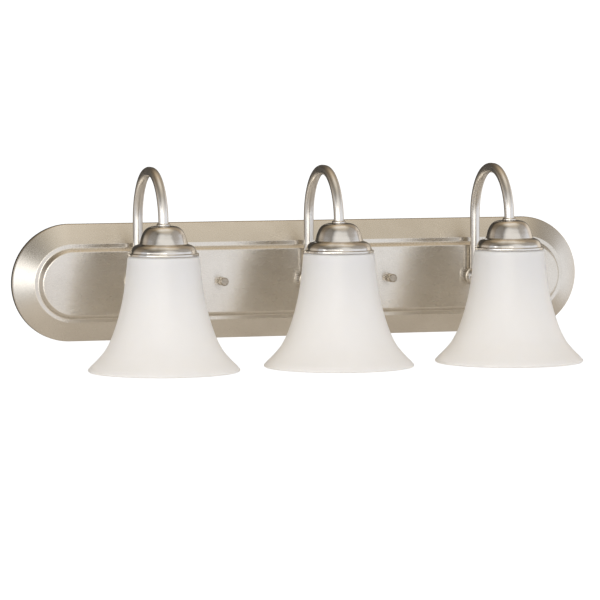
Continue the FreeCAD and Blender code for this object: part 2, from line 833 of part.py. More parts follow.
def lead(colour, side, station, way):
    """From the connector along the pan, through stem, elbow and tube, down into the socket's body.

    way is 1 for the run above the middle of the plate and -1 for the run below it.
    """
    x = station.value
    reach = lead_offset.value * way
    if x > 0:
        reach = -reach
    across = x + reach
    depth = s.lead_depth.value
    level = s.lead_level.value * way
    elbow_y = s.tube_standoff.value
    front_y = front_leg.value
    crown = s.arm_top.value
    terminal = (s.fitter_top - s.fitter_sheet - s.cap_drop - s.socket_floor / 2).value
    mouth = (s.connector_mouth + s.connector_wall * 2).value * way
    bend = s.lead_bend.value
    tube_bend = s.bend_radius.value
    elbow_bend = 4 * s.lead_radius.value
    if x:
        beside = (s.lead_radius * 2 + s.lead_gap).value
        entry = lead_offset.value * way + math.copysign(beside, x)
        points = [(entry, -depth, mouth), (entry, -depth, level), (across, -depth, level)]
        radii = [bend, s.lead_radius.value * 3]
    else:
        points = [(across, -depth, mouth)]
        radii = []
    points.append((across, -depth, 0))
    points.append((across, -elbow_y, 0))
    points.append((across, -elbow_y, crown))
    points.append((across, -front_y, crown))
    points.append((across, -front_y, terminal))
    radii += [bend, elbow_bend, tube_bend, tube_bend]
    wire_solid("lead_%s_%s" % (colour, side), points, radii, s.lead_radius.value)


def connector(colour, way):
    """Twist-on connector, a hollow taper with its mouth towards the middle of the plate."""
    body = new_body("connector_" + colour, ZERO, -s.lead_depth)
    mouth = s.connector_mouth
    tip = mouth + s.connector_length
    wall = s.connector_wall
    corners = [
        (s.connector_radius - wall, mouth),
        (s.connector_radius, mouth),
        (s.connector_end_radius, tip - wall),
        (s.connector_end_radius - wall, tip),
        (ZERO, tip),
        (ZERO, tip - wall * 2),
        (s.connector_end_radius - wall, tip - wall * 2),
    ]
    revolve(body, "connector_taper_" + colour, [(x, z * way) for x, z in corners])


# ---------------------------------------------------------------------------------------------------
# Build

backplate()
for side, station in stations.items():
    arm_tube(side, station)
    elbow(side, station)
    collar(side, station)
    fitter(side, station)
    socket_cap(side, station)
    socket_body(side, station)
    socket_shell(side, station)
    socket_contact(side, station)
    shade_ring(side, station)
    shade(side, station)
    lead("black", side, station, 1)
    lead("white", side, station, -1)
arm_fasteners()
wall_strap()
strap_fasteners()
ground_screw()
for side, way in (("left", -1), ("right", 1)):
    washer(side, way)
    cap_nut(side, way)
connector("black", 1)
connector("white", -1)
doc.recompute()

for thing in doc.Objects:
    if "Invalid" in thing.State or "Error" in thing.State:
        raise RuntimeError("%s failed: %s" % (thing.Name, thing.State))
for node, thing in parts.items():
    if thing.Shape.isNull() or not thing.Shape.isValid():
        raise RuntimeError(node + " has no valid shape")

os.makedirs("parts", exist_ok=True)
for node, thing in parts.items():
    thing.Shape.exportStep("parts/%s.step" % node)
print("%d nodes written" % len(parts))
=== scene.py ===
import math

import bmesh
import bpy
from mathutils import Matrix, Vector


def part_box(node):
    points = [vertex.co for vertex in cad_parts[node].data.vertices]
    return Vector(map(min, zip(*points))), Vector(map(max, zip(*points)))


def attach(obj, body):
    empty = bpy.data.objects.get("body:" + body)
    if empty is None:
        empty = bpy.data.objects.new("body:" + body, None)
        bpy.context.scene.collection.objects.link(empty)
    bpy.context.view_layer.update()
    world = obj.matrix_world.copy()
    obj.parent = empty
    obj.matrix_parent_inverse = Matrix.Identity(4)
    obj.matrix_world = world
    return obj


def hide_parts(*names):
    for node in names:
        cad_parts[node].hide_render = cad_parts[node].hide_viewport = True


# Looks of a three-light vanity bar.  Lengths are in millimetres until a mesh is made, in metres.

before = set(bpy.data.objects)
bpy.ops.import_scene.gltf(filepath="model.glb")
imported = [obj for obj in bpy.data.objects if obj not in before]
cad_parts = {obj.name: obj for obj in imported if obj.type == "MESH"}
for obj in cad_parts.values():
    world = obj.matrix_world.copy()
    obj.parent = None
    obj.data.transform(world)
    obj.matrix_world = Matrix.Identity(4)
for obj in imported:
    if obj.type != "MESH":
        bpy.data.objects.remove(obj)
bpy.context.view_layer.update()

MM = 0.001
SIDES = ("left", "mid", "right")
OUTER_SIDES = ("left", "right")
ROOT = "fixture"
ROUND = 144                 # facets around a large turned piece
SMALL_ROUND = 64
WELD = 1e-7                 # metres; vertices closer than this are one


# ---------------------------------------------------------------------------------------------------
# Outlines

def corner_arc(before, corner, after, radius, steps):
    """Points of the arc that rounds one corner of an outline."""
    into = (Vector(before) - Vector(corner)).normalized()
    out = (Vector(after) - Vector(corner)).normalized()
    half = into.angle(out) / 2
    reach = radius / math.tan(half)
    centre = Vector(corner) + (into + out).normalized() * (radius / math.sin(half))
    first = Vector(corner) + into * reach - centre
    last = Vector(corner) + out * reach - centre
    return [centre + first.slerp(last, step / steps) * radius for step in range(steps + 1)]


def rounded(corners, steps=6, closed=False):
    """An outline whose corners are (x, y) or (x, y, radius)."""
    points = []
    count = len(corners)
    for index, corner in enumerate(corners):
        here = corner[:2]
        is_end = not closed and index in (0, count - 1)
        if is_end or len(corner) == 2 or not corner[2]:
            points.append(Vector(here))
            continue
        before = corners[index - 1][:2]
        after = corners[(index + 1) % count][:2]
        points += corner_arc(before, here, after, corner[2], steps)
    return points


def spline(points, steps=8):
    """A smooth Catmull-Rom curve through a few points."""
    points = [Vector(point) for point in points]
    padded = [points[0] * 2 - points[1]] + points + [points[-1] * 2 - points[-2]]
    curve = []
    for a, b, c, d in zip(padded, padded[1:], padded[2:], padded[3:]):
        for step in range(steps):
            t = step / steps
            curve.append(0.5 * (2 * b + (c - a) * t + (2 * a - 5 * b + 4 * c - d) * t ** 2
                                + (3 * b - a - 3 * c + d) * t ** 3))
    return curve + [points[-1]]


def offset_curve(points, distance):
    """The same curve moved sideways, to the left of its direction where the distance is positive."""
    moved = []
    last = len(points) - 1
    for index, point in enumerate(points):
        along = (points[min(index + 1, last)] - points[max(index - 1, 0)]).normalized()
        moved.append(point + Vector((-along.y, along.x)) * distance)
    return moved


# ---------------------------------------------------------------------------------------------------
# Mesh makers.  Each returns an object whose mesh is in metres about the object's own origin.

def make_object(name, verts, faces, sharp=35):
    """A welded mesh with outward normals, smooth except at edges sharper than the given degrees."""
    mesh = bpy.data.meshes.new(name)
    mesh.from_pydata([Vector(vert) * MM for vert in verts], [], faces)
    work = bmesh.new()
    work.from_mesh(mesh)
    bmesh.ops.remove_doubles(work, verts=work.verts, dist=WELD)
    bmesh.ops.dissolve_degenerate(work, edges=work.edges, dist=WELD / 10)
    bmesh.ops.recalc_face_normals(work, faces=work.faces)
    work.to_mesh(mesh)
    work.free()
    mesh.shade_smooth()
    mesh.set_sharp_from_angle(angle=math.radians(sharp))
    piece = bpy.data.objects.new(name, mesh)
    bpy.context.scene.collection.objects.link(piece)
    return piece


def grid_faces(rows, columns, wrap_rows=False, wrap_columns=False):
    """Quads between the vertices of a grid that are listed row by row."""
    faces = []
    for row in range(rows if wrap_rows else rows - 1):
        for column in range(columns if wrap_columns else columns - 1):
            next_row = (row + 1) % rows
            next_column = (column + 1) % columns
            faces.append((row * columns + column, row * columns + next_column,
                          next_row * columns + next_column, next_row * columns + column))
    return faces


def lathe(name, outline, segments=ROUND, axis="Z", closed=True, ripple=None, sharp=35):
    """Turn an outline of (radius, height) about Z, or about -Y so that height points to the front.
    ripple(angle, radius, height) is added to the radius."""
    verts = []
    for step in range(segments):
        angle = math.tau * step / segments
        for index, point in enumerate(outline):
            radius, height = point[0], point[1]
            if ripple:
                radius += ripple(angle, radius, height)
            across = radius * math.cos(angle)
            along = radius * math.sin(angle)
            if axis == "Z":
                verts.append((across, along, height))
            else:
                verts.append((across, -height, along))
    faces = grid_faces(segments, len(outline), True, closed)
    return make_object(name, verts, faces, sharp)


def tangent_path(corners, steps=10):
    """A 3-D path whose corners are (point, radius): straight runs joined by arcs."""
    path = [Vector(corners[0][0])]
    for (before, _), (corner, radius), (after, _) in zip(corners, corners[1:], corners[2:]):
        path += corner_arc(before, corner, after, radius, steps)
    path.append(Vector(corners[-1][0]))
    return path


def dense(path, longest):
    """The path with its long runs divided, so that no step is over the given length."""
    points = [path[0]]
    for before, after in zip(path, path[1:]):
        pieces = max(1, math.ceil((after - before).length / longest))
        points += [before.lerp(after, piece / pieces) for piece in range(1, pieces + 1)]
    return points


def sweep(name, path, radius, around):
    """A round bar along a path, with a section that doesn't twist."""
    heading = (path[1] - path[0]).normalized()
    side = heading.orthogonal().normalized()
    verts = []
    last = len(path) - 1
    for index, point in enumerate(path):
        along = (path[min(index + 1, last)] - path[max(index - 1, 0)]).normalized()
        side = (side - along * side.dot(along)).normalized()
        other = along.cross(side)
        for step in range(around):
            angle = math.tau * step / around
            verts.append(point + side * (math.cos(angle) * radius) + other * (math.sin(angle) * radius))
    faces = grid_faces(len(path), around, False, True)
    faces.append(tuple(range(around)))
    faces.append(tuple(range(last * around, last * around + around)))
    return make_object(name, verts, faces, 40)


def prism(name, outline, start, end):
    """A closed outline of (x, z) pushed out along -Y from start to end."""
    verts = [(x, -depth, z) for depth in (start, end) for x, z in outline]
    count = len(outline)
    faces = grid_faces(2, count, False, True)
    faces.append(tuple(range(count)))
    faces.append(tuple(range(count, 2 * count)))
    return make_object(name, verts, faces)


def merge(name, objects):
    """Join several objects into one mesh at the origin."""
    work = bmesh.new()
    for thing in objects:
        mesh = thing.data
        mesh.transform(thing.matrix_basis)
        work.from_mesh(mesh)
        bpy.data.objects.remove(thing)
        bpy.data.meshes.remove(mesh)
    mesh = bpy.data.meshes.new(name)
    work.to_mesh(mesh)
    work.free()
    piece = bpy.data.objects.new(name, mesh)
    bpy.context.scene.collection.objects.link(piece)
    return piece


def settle(piece, body, slot, material, *nodes, at=(0, 0, 0)):
    """Put a finished piece in place on its body, in place of its CAD nodes."""
    piece.location = Vector(at) * MM
    piece.data.materials.clear()
    piece.data.materials.append(material)
    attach(piece, body)
    if nodes:
        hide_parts(*nodes)
    return piece


def repaint(node, material):
    """Give a CAD node that stays in view its Blender material."""
    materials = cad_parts[node].data.materials
    materials.clear()
    materials.append(material)


def centre_of(node):
    """Middle of a CAD node in millimetres."""
    low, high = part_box(node)
    return (low + high) / 2 / MM


def span_of(node):
    """Lowest and highest corner of a CAD node in millimetres."""
    low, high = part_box(node)
    return low / MM, high / MM


# ---------------------------------------------------------------------------------------------------
# Materials.  Grain depths and texture scales are in metres and per metre.

def set_stops(ramp, stops):
    """Fill a colour ramp node with (place, colour) stops."""
    bar = ramp.color_ramp.elements
    while len(bar) < len(stops):
        bar.new(0.5)
    for element, (place, colour) in zip(bar, stops):
        element.position = place
        element.color = tuple(colour) + (1,)


class Shader:
    """A short way to write the node tree of a material."""

    def __init__(self, name):
        self.material = bpy.data.materials.new(name)
        self.material.use_nodes = True
        self.tree = self.material.node_tree
        self.surface = self.tree.nodes["Principled BSDF"]

    def add(self, kind, **settings):
        node = self.tree.nodes.new("ShaderNode" + kind)
        for key, value in settings.items():
            setattr(node, key, value)
        return node

    def link(self, source, target):
        self.tree.links.new(source, target)

    def set(self, **values):
        """Values for the surface's own sockets, with _ for a space."""
        for key, value in values.items():
            self.surface.inputs[key.replace("_", " ")].default_value = value
        return self

    def object_space(self, scale=(1, 1, 1)):
        """Object coordinates in metres times a scale on each axis."""
        coordinates = self.add("TexCoord")
        stretch = self.add("Mapping")
        stretch.inputs["Scale"].default_value = scale
        self.link(coordinates.outputs["Object"], stretch.inputs["Vector"])
        return stretch.outputs["Vector"]

    def rings(self):
        """A coordinate that only changes with distance from the Z axis and with height."""
        parts = self.add("SeparateXYZ")
        self.link(self.object_space(), parts.inputs["Vector"])
        flat = self.add("CombineXYZ")
        self.link(parts.outputs["X"], flat.inputs["X"])
        self.link(parts.outputs["Y"], flat.inputs["Y"])
        length = self.add("VectorMath", operation="LENGTH")
        self.link(flat.outputs["Vector"], length.inputs[0])
        joined = self.add("CombineXYZ")
        self.link(length.outputs["Value"], joined.inputs["X"])
        self.link(parts.outputs["Z"], joined.inputs["Z"])
        return joined.outputs["Vector"]

    def noise(self, vector, scale, detail=4.0, roughness=0.55, distortion=0.0):
        node = self.add("TexNoise")
        node.inputs["Scale"].default_value = scale
        node.inputs["Detail"].default_value = detail
        node.inputs["Roughness"].default_value = roughness
        node.inputs["Distortion"].default_value = distortion
        self.link(vector, node.inputs["Vector"])
        return node.outputs["Fac"]

    def remap(self, value, low, high, start=0.0, end=1.0):
        """start to end becomes low to high."""
        node = self.add("MapRange")
        node.inputs["From Min"].default_value = start
        node.inputs["From Max"].default_value = end
        node.inputs["To Min"].default_value = low
        node.inputs["To Max"].default_value = high
        self.link(value, node.inputs["Value"])
        return node.outputs["Result"]

    def ramp(self, value, stops):
        node = self.add("ValToRGB")
        set_stops(node, stops)
        self.link(value, node.inputs["Fac"])
        return node.outputs["Color"]

    def bump(self, height, distance, strength=1.0, onto=None):
        """A normal from a height, on top of another normal where one is given."""
        node = self.add("Bump")
        node.inputs["Distance"].default_value = distance
        node.inputs["Strength"].default_value = strength
        self.link(height, node.inputs["Height"])
        if onto is not None:
            self.link(onto, node.inputs["Normal"])
        return node.outputs["Normal"]

    def plug(self, **sources):
        """Links into the surface's own sockets, with _ for a space."""
        for key, source in sources.items():
            self.link(source, self.surface.inputs[key.replace("_", " ")])
        return self


def tones(tint, spread):
    """A dark, a middle and a light tone of one colour."""
    return [tuple(part * share for part in tint) for share in (1 - spread, 1.0, 1 + spread)]


PLATED = [(0.620, 0.578, 0.512), (0.660, 0.618, 0.552), (0.695, 0.655, 0.590)]
TURNED = tones((0.665, 0.637, 0.598), 0.05)
DRAWN = tones((0.680, 0.652, 0.613), 0.04)
# Dark brown tones for the cap nuts' satin nickel. This is painted shade, standing in for the shade in
# the knurl's grooves and round the nut.
PAINTED_SHADE_TONES = tones((0.32, 0.28, 0.225), 0.27)
PAINTED = tones((0.03, 0.27, 0.09), 0.27)


def nickel(name, colours, coordinates, grain_scale, roughness, grain_depth,
           stretch=0.0, wobble=0.0, swell=16.0):
    """Satin plating: a slow change between three tones, fine brushing in one direction, and light
    rubbing.  Across the brushing a reflection is drawn out, by as much as stretch says.  wobble and
    swell are the depth and the scale of the surface's slow waves."""
    shader = Shader(name)
    shader.set(Metallic=1.0, Anisotropic=stretch)
    tone = shader.noise(shader.object_space(), 22.0, 3.0)
    colour = shader.ramp(tone, list(zip((0.30, 0.50, 0.72), colours)))
    grain = shader.noise(coordinates(shader), grain_scale, 6.0, 0.6)
    polish = shader.remap(grain, roughness - 0.035, roughness + 0.045, 0.3, 0.7)
    normal = shader.bump(grain, grain_depth)
    if wobble:
        slow = shader.noise(shader.object_space(), swell, 1.0)
        normal = shader.bump(slow, wobble, 1.0, normal)
    return shader.plug(Base_Color=colour, Roughness=polish, Normal=normal)


def brushed_along_x(shader):
    """The reflection is drawn out up and down, across a grain that runs along the bar."""
    across = shader.add("CombineXYZ")
    across.inputs["Z"].default_value = 1.0
    shader.link(across.outputs["Vector"], shader.surface.inputs["Tangent"])
    return shader.material


def brushed_around_axis(shader):
    """The reflection is drawn out from top to bottom, across a grain that runs round a turned piece."""
    around = shader.add("Tangent", direction_type="RADIAL", axis="Z")
    shader.link(around.outputs["Tangent"], shader.surface.inputs["Tangent"])
    shader.set(Anisotropic_Rotation=0.25)
    return shader.material


def along_x(shader):
    """Grain that runs along the bar."""
    return shader.object_space((0.2, 1, 1))


def along_tube(shader):
    """Grain drawn out over a tube that bends in the plane of Y and Z."""
    return shader.object_space((1, 0.12, 0.12))


def opal_glass():
    """Etched opal glass: white through and through, with faint clouding and a fine satin tooth."""
    shader = Shader("opal_glass")
    shader.set(Subsurface_Weight=0.8, Subsurface_Scale=0.02, IOR=1.5, Coat_Weight=0.0)
    shader.surface.inputs["Subsurface Radius"].default_value = (1.0, 0.95, 0.84)
    clouds = shader.noise(shader.object_space((1, 1, 0.6)), 28.0, 4.0, 0.6, 0.4)
    colour = shader.ramp(clouds, [(0.30, (0.952, 0.930, 0.888)), (0.70, (0.974, 0.954, 0.914))])
    tooth = shader.noise(shader.object_space(), 900.0, 2.0)
    polish = shader.remap(clouds, 0.36, 0.46, 0.3, 0.7)
    return shader.plug(Base_Color=colour, Roughness=polish,
                       Normal=shader.bump(tooth, 2e-5, 0.6)).material


def zinc():
    """Bright zinc on steel, with the faint patches of passivated plating."""
    shader = Shader("zinc_plate")
    shader.set(Metallic=1.0)
    cells = shader.add("TexVoronoi", feature="F1")
    cells.inputs["Scale"].default_value = 260.0
    shader.link(shader.object_space(), cells.inputs["Vector"])
    colour = shader.ramp(cells.outputs["Distance"], [
        (0.05, (0.50, 0.52, 0.53)), (0.55, (0.60, 0.61, 0.60)), (0.95, (0.66, 0.64, 0.58))])
    rubbed = shader.noise(shader.object_space(), 400.0, 5.0)
    polish = shader.remap(rubbed, 0.28, 0.44, 0.3, 0.7)
    return shader.plug(Base_Color=colour, Roughness=polish,
                       Normal=shader.bump(rubbed, 2e-5)).material


def moulding(name, dark, light, roughness, coat=0.0):
    """A moulded plastic: mottled tone, a fine spark-eroded tooth and faint flow marks."""
    shader = Shader(name)
    shader.set(Coat_Weight=coat, IOR=1.5)
    mottle = shader.noise(shader.object_space((1, 1, 2.5)), 120.0, 5.0, 0.65, 0.8)
    colour = shader.ramp(mottle, [(0.30, dark), (0.72, light)])
    tooth = shader.noise(shader.object_space(), 700.0, 3.0)
    polish = shader.remap(mottle, roughness - 0.06, roughness + 0.10, 0.3, 0.7)
    return shader.plug(Base_Color=colour, Roughness=polish,
                       Normal=shader.bump(tooth, 3e-5)).material


def brass():
    """Drawn brass sheet, slightly browned in patches."""
    shader = Shader("shell_brass")
    shader.set(Metallic=1.0)
    patches = shader.noise(shader.object_space(), 140.0, 5.0, 0.6)
    colour = shader.ramp(patches, [
        (0.28, (0.46, 0.30, 0.11)), (0.50, (0.72, 0.53, 0.22)), (0.75, (0.80, 0.63, 0.30))])
    draw_lines = shader.noise(shader.rings(), 900.0, 3.0)
    polish = shader.remap(patches, 0.36, 0.22, 0.3, 0.7)
    return shader.plug(Base_Color=colour, Roughness=polish,
                       Normal=shader.bump(draw_lines, 2e-5)).material


PLATE = brushed_along_x(nickel("nickel_plate", PLATED, along_x, 2200.0, 0.25, 5e-7, 0.85, 3e-5))
SPUN = brushed_around_axis(
    nickel("nickel_spun", TURNED, Shader.rings, 900.0, 0.17, 1.2e-6, 0.35, 1.8e-3, 52.0))
TUBE = nickel("nickel_tube", DRAWN, along_tube, 900.0, 0.30, 2e-7, 0.0, 2e-5, 60.0).material
CAST = nickel("nickel_cast", TURNED, Shader.object_space, 900.0, 0.20, 1e-6).material
OPAL = opal_glass()
ZINC = zinc()
PHENOLIC = moulding("phenolic_black", (0.014, 0.012, 0.011), (0.045, 0.038, 0.033), 0.34, 0.15)
RING_WHITE = moulding("ring_ivory", (0.60, 0.57, 0.49), (0.70, 0.67, 0.60), 0.42)
BRASS = brass()
PVC_BLACK = moulding("lead_black", (0.010, 0.010, 0.011), (0.030, 0.030, 0.031), 0.38)
PVC_WHITE = moulding("lead_white", (0.62, 0.61, 0.57), (0.74, 0.73, 0.70), 0.40)
ORANGE = moulding("connector_orange", (0.62, 0.16, 0.02), (0.78, 0.24, 0.04), 0.40)
# The cap nuts' nickel is darkened with painted shade, for the shade in their knurling.
NUT_PAINTED_SHADE = nickel("nickel_nut_painted_shade", PAINTED_SHADE_TONES, Shader.object_space, 900.0, 0.26, 2e-6).material
GREEN = nickel("ground_green", PAINTED, Shader.object_space, 600.0, 0.34, 4e-6).material


# ---------------------------------------------------------------------------------------------------
# Backplate

SHEET = 1.0
RIM_HEIGHT = 6.0
RIM_ROUNDING = 3.4
BEVEL_WIDTH = 20.0
SHOULDER_DEPTH = 21.0
SHOULDER_WIDTH = 4.2
OUTER_ROUNDING = 1.2
INNER_ROUNDING = 1.4
RISER_WIDTH = 3.4
PANEL_ROUNDING = 1.8

plate_low, plate_high = span_of("backplate")
PANEL_DEPTH = -plate_low.y
HALF_HEIGHT = plate_high.z
HALF_STRAIGHT = plate_high.x - HALF_HEIGHT


def pan_section():
    """(inset, depth) from the back rim over the front to the middle of the panel, and back inside."""
    shoulder = BEVEL_WIDTH
    riser = shoulder + SHOULDER_WIDTH
    panel = riser + RISER_WIDTH
    front = rounded([
        (0, 0), (0, RIM_HEIGHT, RIM_ROUNDING), (shoulder, SHOULDER_DEPTH, OUTER_ROUNDING),
        (riser, SHOULDER_DEPTH, INNER_ROUNDING), (panel, PANEL_DEPTH, PANEL_ROUNDING),
        (HALF_HEIGHT, PANEL_DEPTH)], 7)
    back = offset_curve(front, -SHEET)
    back[0] = Vector((SHEET, 0))
    back[-1] = Vector((HALF_HEIGHT, PANEL_DEPTH - SHEET))
    return front + back[::-1]


def racetrack():
    """(x of the end's centre, direction) round the plate, with the long sides divided."""
    stations = []
    arc_steps = 64
    side_steps = 24
    for way in (1, -1):
        for step in range(arc_steps + 1):
            angle = math.pi * step / arc_steps - math.pi / 2
            if way < 0:
                angle += math.pi
            stations.append((HALF_STRAIGHT * way, angle))
        edge = math.pi / 2 * way
        for step in range(1, side_steps):
            stations.append((HALF_STRAIGHT * way * (1 - 2 * step / side_steps), edge))
    return stations


def backplate():
    """Pan of sheet metal with a turned rim, a sloping border, a flat shoulder and a sunk panel."""
    section = pan_section()
    stations = racetrack()
    verts = []
    for x, angle in stations:
        for inset, depth in section:
            reach = HALF_HEIGHT - inset
            verts.append((x + reach * math.cos(angle), -depth, reach * math.sin(angle)))
    faces = grid_faces(len(stations), len(section), True, True)
    settle(make_object("backplate_pan", verts, faces), ROOT, "satin_nickel", PLATE, "backplate")


# ---------------------------------------------------------------------------------------------------
# Arms, elbows, collars and fitters

TUBE_RADIUS = 5.0
BEND_RADIUS = 50.0
STEM_RADIUS = 5.0


def arm(side):
    """Swan-neck tube that rises from its elbow, turns over and comes down into the fitter."""
    low, high = span_of("arm_tube_" + side)
    x = (low.x + high.x) / 2
    rear = high.y - TUBE_RADIUS
    front = low.y + TUBE_RADIUS
    top = high.z - TUBE_RADIUS
    foot = centre_of("fitter_" + side).z + 10       # inside the fitter's dome
    path = tangent_path([
        ((x, rear, low.z), 0), ((x, rear, top), BEND_RADIUS), ((x, front, top), BEND_RADIUS),
        ((x, front, foot), 0)], 40)
    tube = sweep("arm_" + side, dense(path, 8.0), TUBE_RADIUS, 56)
    settle(tube, ROOT, "satin_nickel", TUBE, "arm_tube_" + side)


def elbow(side):
    """A polished ball with a waisted neck against the plate and a threaded stem behind it."""
    low, high = span_of("arm_elbow_" + side)
    x = (low.x + high.x) / 2
    axis_y = span_of("arm_tube_" + side)[1].y - TUBE_RADIUS
    ball = (high.x - low.x) / 2
    panel = -PANEL_DEPTH - axis_y
    stem_end = high.y - axis_y
    neck = 6.6
    stem_bore = 3.4
    start = math.acos(neck * 0.82 / ball)
    steps = 40
    angles = [start - step * (start + math.pi / 2) / steps for step in range(steps, -1, -1)]
    profile = [Vector((max(ball * math.cos(angle), 0), ball * math.sin(angle))) for angle in angles]
    waist = profile[-1]
    profile += rounded([
        (waist.x, waist.y), (neck * 0.84, (waist.y + panel) / 2, 1.2), (neck, panel - 0.9, 0.4),
        (neck, panel), (STEM_RADIUS, panel)], 5)[1:]
    profile += thread_profile(STEM_RADIUS, panel + 0.4, stem_end, 0.9, 0.35)
    profile += [Vector((stem_bore, stem_end)), Vector((stem_bore, stem_end - 6))]
    turned = lathe("elbow_" + side, [(point[0], -point[1]) for point in profile], 72, "Y", False)
    settle(turned, ROOT, "satin_nickel", CAST, "arm_elbow_" + side, at=(x, axis_y, 0))


def thread_profile(radius, start, end, pitch, depth):
    """Crests and roots of a screw thread along an outline, drawn as rings."""
    outline = []
    turns = max(1, int(abs(end - start) / pitch))
    step = (end - start) / turns
    for turn in range(turns):
        base = start + turn * step
        outline += [Vector((radius - depth, base)), Vector((radius, base + step * 0.4)),
                    Vector((radius, base + step * 0.6))]
    outline.append(Vector((radius - depth, end)))
    return outline


def collar(side):
    """Turned ring where the tube enters the fitter."""
    low, high = span_of("arm_collar_" + side)
    outer = (high.x - low.x) / 2
    bore = TUBE_RADIUS + 0.02
    tall = high.z - low.z
    profile = rounded([(bore, 0), (outer, 0, 0.5), (outer, tall * 0.55, 0.5),
                       (outer * 0.86, tall, 0.35), (bore, tall)], 5)
    ring = lathe("collar_" + side, profile, SMALL_ROUND)
    centre = centre_of("arm_collar_" + side)
    settle(ring, ROOT, "satin_nickel", SPUN, "arm_collar_" + side, at=(centre.x, centre.y, low.z))


FITTER_SHEET = 0.9
FITTER_BORE = 5.6


def fitter(side):
    """Two spun tiers and a rolled lip.  Heights are down from the top, first outside, then inside."""
    low, high = span_of("fitter_" + side)
    lip = min((high.x - low.x) / 2, 35.0)
    depth = high.z - low.z
    dome = spline([(FITTER_BORE, 0.0), (10.5, -0.25), (14.6, -1.3), (18.0, -3.7), (20.4, -7.2),
                   (22.3, -11.6), (23.6, -15.6), (24.1, -17.2)], 8)
    crease = rounded([(24.1, -17.2), (24.3, -17.9, 0.25), (25.6, -18.3)], 3)[1:]
    tier = spline([(25.6, -18.3), (28.6, -19.5), (31.0, -21.6), (32.5, -24.3), (33.0, -26.2)], 8)[1:]
    roll = rounded([(33.0, -26.2), (33.2, -26.9, 0.3), (lip, -27.2, 0.7), (lip, -depth, 0.9),
                    (lip - 1.6, -depth)], 6)[1:]
    outside = dome + crease + tier + roll
    inside = offset_curve(dome + crease + tier, -FITTER_SHEET)
    inside = [point for point in inside if point.x > FITTER_BORE]
    profile = outside + inside[::-1]
    cup = lathe("fitter_cup_" + side, profile, ROUND, sharp=50)
    centre = centre_of("fitter_" + side)
    settle(cup, ROOT, "satin_nickel", SPUN, "fitter_" + side, at=(centre.x, centre.y, high.z))


# ---------------------------------------------------------------------------------------------------
# Glass shades

GLASS_WALL = 3.0
GLASS_HOLE = 21.0


def shade(side):
    """Bell of opal glass with a fire-polished bead round the mouth."""
    low, high = span_of("shade_" + side)
    rim = (high.x - low.x) / 2
    top = high.z
    bead = 1.7
    outer = spline([
        (35.7, top - 2.6), (36.5, top - 10), (37.5, top - 20), (39.4, top - 35), (42.3, top - 50),
        (46.6, top - 66), (51.9, top - 81), (57.6, top - 92.2), (63.0, top - 99.2),
        (68.4, top - 105.0), (72.4, top - 108.8), (rim - bead * 0.55, low.z + bead * 1.75)], 7)
    inner = offset_curve(outer, -GLASS_WALL)
    shoulder = rounded([(GLASS_HOLE, top), (35.6, top, 2.4), (35.7, top - 2.6)], 8)[:-1]
    lip = [Vector((rim - bead + bead * math.cos(angle), low.z + bead + bead * math.sin(angle)))
           for angle in (math.radians(25 - 25 * step) for step in range(9))]
    under = rounded([(inner[2].x, inner[2].y), (32.4, top - GLASS_WALL, 2.2),
                     (GLASS_HOLE, top - GLASS_WALL)], 6)[1:]
    profile = shoulder + outer + lip + inner[2:-2][::-1] + under
    bell = lathe("bell_" + side, profile, 192, sharp=60)
    centre = centre_of("shade_" + side)
    settle(bell, "shade_" + side, "opal_glass", OPAL, "shade_" + side, at=(centre.x, centre.y, 0))


# ---------------------------------------------------------------------------------------------------
# Sockets and shade rings

def screw_thread(name, radius, low, high, pitch, depth, wall, segments=96):
    """A rolled sheet thread: a wavy tube whose wave climbs one pitch a turn."""
    rows_per_turn = 10
    rows = int((high - low) / pitch * rows_per_turn)
    verts = []
    for skin in (0, wall):
        for row in range(rows + 1):
            height = low + (high - low) * row / rows
            fade = min(1, (height - low) / pitch, (high - height) / pitch)
            for step in range(segments):
                angle = math.tau * step / segments
                wave = 0.5 - 0.5 * math.cos(math.tau * (height / pitch) - angle)
                reach = radius - depth * wave * fade + skin
                verts.append((reach * math.cos(angle), reach * math.sin(angle), height))
    faces = []
    count = (rows + 1) * segments
    for skin in (0, 1):
        for a, b, c, d in grid_faces(rows + 1, segments, False, True):
            faces.append(tuple(index + skin * count for index in (a, b, c, d)))
    for row in (0, rows):
        for step in range(segments):
            here = row * segments + step
            following = row * segments + (step + 1) % segments
            faces.append((here, following, following + count, here + count))
    return make_object(name, verts, faces, 60)


def socket(side):
    """Moulded lamp holder with an outside thread, its brass screw shell, tongue and metal cap."""
    centre = centre_of("socket_body_" + side)
    at = (centre.x, centre.y, 0)
    low, high = span_of("socket_body_" + side)
    outer = (high.x - low.x) / 2
    shell_low, shell_high = span_of("socket_shell_" + side)
    shell = (shell_high.x - shell_low.x) / 2
    core = 15.9
    bore = shell + 0.05
    thread_top = 34.5
    outline = rounded([(core, high.z, 0.6), (core, thread_top + 1.4), (outer, thread_top, 0.3)], 4)
    outline += thread_profile(outer, thread_top - 0.6, low.z + 2.2, 2.5, 0.7)
    outline += rounded([(outer - 0.4, low.z + 2.0), (outer - 0.4, low.z, 0.8), (bore, low.z, 0.8),
                        (bore, high.z - 5), (0, high.z - 5)], 4)[1:]
    outline += [Vector((0, high.z))]
    body = lathe("socket_" + side, outline, 96, sharp=30)
    settle(body, ROOT, "socket_moulding", PHENOLIC, "socket_body_" + side, at=at)
    lamp_pitch = 3.63                   # seven turns to the inch
    inner = screw_thread("screw_shell_" + side, shell - 0.5, shell_low.z, shell_high.z, lamp_pitch,
                         0.8, 0.45)
    settle(inner, ROOT, "shell_brass", BRASS, "socket_shell_" + side, at=at)
    contact(side, at)
    cap(side, at)


